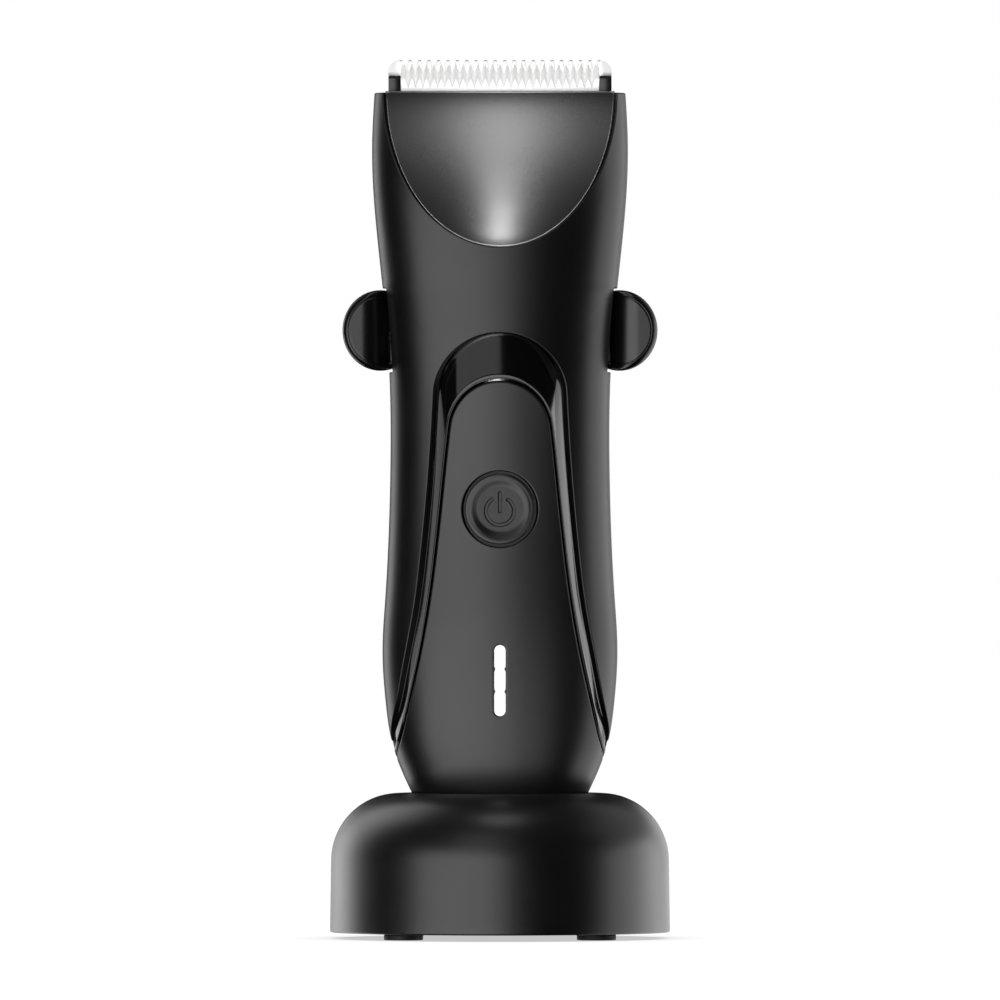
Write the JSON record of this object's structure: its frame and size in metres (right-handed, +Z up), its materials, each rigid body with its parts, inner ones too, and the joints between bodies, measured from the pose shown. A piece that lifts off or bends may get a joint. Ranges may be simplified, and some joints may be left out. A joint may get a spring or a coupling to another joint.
{
  "type": "body groomer",
  "caption": "Cordless body groomer with a ceramic comb blade, dished power button and lamp, standing upright in a round charging dock",
  "frame": {"origin": "on the table under the middle of the round dock, level with the undersides of its feet", "axes": "+Z up along the groomer towards its blade; the power button and lamp face -Y; +X is to the right of someone who looks at the front"},
  "size_m": [0.068, 0.068, 0.1756],
  "materials": {
    "satin_black_plastic": "satin black moulding with a fine even grain",
    "gloss_black_plastic": "polished piano black",
    "inner_plastic": "plain dark grey moulding",
    "black_rubber": "soft black elastomer",
    "white_ceramic": "ground white ceramic",
    "steel": "plain bright steel",
    "gold_contact": "gold plated",
    "circuit_board": "green solder mask",
    "cell_sleeve": "blue heat-shrink sleeve",
    "lamp_lens": "milky white lens"
  },
  "bodies": {
    "dock": {"dock_shell": "satin_black_plastic", "dock_cradle": "inner_plastic", "dock_base_plate": "inner_plastic", "dock_weight": "steel", "dock_pcb": "circuit_board", "usb_socket": "steel", "foot_1": "black_rubber", "foot_2": "black_rubber", "foot_3": "black_rubber", "foot_4": "black_rubber", "base_screw_1": "steel", "base_screw_2": "steel", "base_screw_3": "steel", "pin_barrel_left": "gold_contact", "pin_barrel_right": "gold_contact"},
    "dock_pin_left": {"dock_pin_left": "gold_contact"},
    "dock_pin_right": {"dock_pin_right": "gold_contact"},
    "handle": {"front_shell": "satin_black_plastic", "rear_shell": "satin_black_plastic", "front_panel": "satin_black_plastic", "gloss_band": "gloss_black_plastic", "bottom_cap": "inner_plastic", "chassis": "inner_plastic", "upper_deck": "inner_plastic", "shaft_seal": "black_rubber", "battery_cell": "cell_sleeve", "motor": "steel", "main_pcb": "circuit_board", "tact_switch": "inner_plastic", "led_strip": "circuit_board", "light_pipe": "lamp_lens", "button_membrane": "black_rubber", "charge_contact_left": "gold_contact", "charge_contact_right": "gold_contact", "board_screw_1": "steel", "board_screw_2": "steel", "board_screw_3": "steel", "board_screw_4": "steel", "release_spring_left": "steel", "release_spring_right": "steel"},
    "power_button": {"power_button": "satin_black_plastic"},
    "release_left": {"release_button_left": "gloss_black_plastic"},
    "release_right": {"release_button_right": "gloss_black_plastic"},
    "eccentric": {"eccentric_cam": "inner_plastic", "motor_shaft": "steel"},
    "head": {"head_cover": "satin_black_plastic", "head_back": "satin_black_plastic", "head_frame": "inner_plastic", "fixed_comb": "white_ceramic", "comb_screw_left": "steel", "comb_screw_right": "steel", "blade_spring": "steel"},
    "cutter": {"moving_cutter": "white_ceramic", "drive_yoke": "inner_plastic"}
  },
  "joints": [
    {"name": "groomer_lift", "type": "slide", "parent": "dock", "child": "handle", "axis": [0, 0, 1], "range_m": [0, 0.03]},
    {"name": "dock_pin_left_press", "type": "slide", "parent": "dock", "child": "dock_pin_left", "axis": [0, 0, -1], "range_m": [0, 0.001], "stiffness_N_per_m": 400},
    {"name": "dock_pin_right_press", "type": "slide", "parent": "dock", "child": "dock_pin_right", "axis": [0, 0, -1], "range_m": [0, 0.001], "stiffness_N_per_m": 400},
    {"name": "power_button_press", "type": "slide", "parent": "handle", "child": "power_button", "axis": [0, 1, 0], "range_m": [0, 0.0006], "stiffness_N_per_m": 2500},
    {"name": "release_left_press", "type": "slide", "parent": "handle", "child": "release_left", "axis": [1, 0, 0], "range_m": [0, 0.002], "stiffness_N_per_m": 2000, "deforming": ["release_spring_left"]},
    {"name": "release_right_press", "type": "slide", "parent": "handle", "child": "release_right", "axis": [-1, 0, 0], "range_m": [0, 0.002], "stiffness_N_per_m": 2000, "deforming": ["release_spring_right"]},
    {"name": "eccentric_spin", "type": "hinge", "parent": "handle", "child": "eccentric", "pos_m": [0, 0, 0.1345], "axis": [0, 0, 1], "continuous": true},
    {"name": "head_release", "type": "slide", "parent": "handle", "child": "head", "axis": [0, 0, 1], "range_m": [0, 0.02]},
    {"name": "blade_stroke", "type": "slide", "parent": "head", "child": "cutter", "axis": [1, 0, 0], "range_m": [-0.0008, 0.0008]}
  ]
}
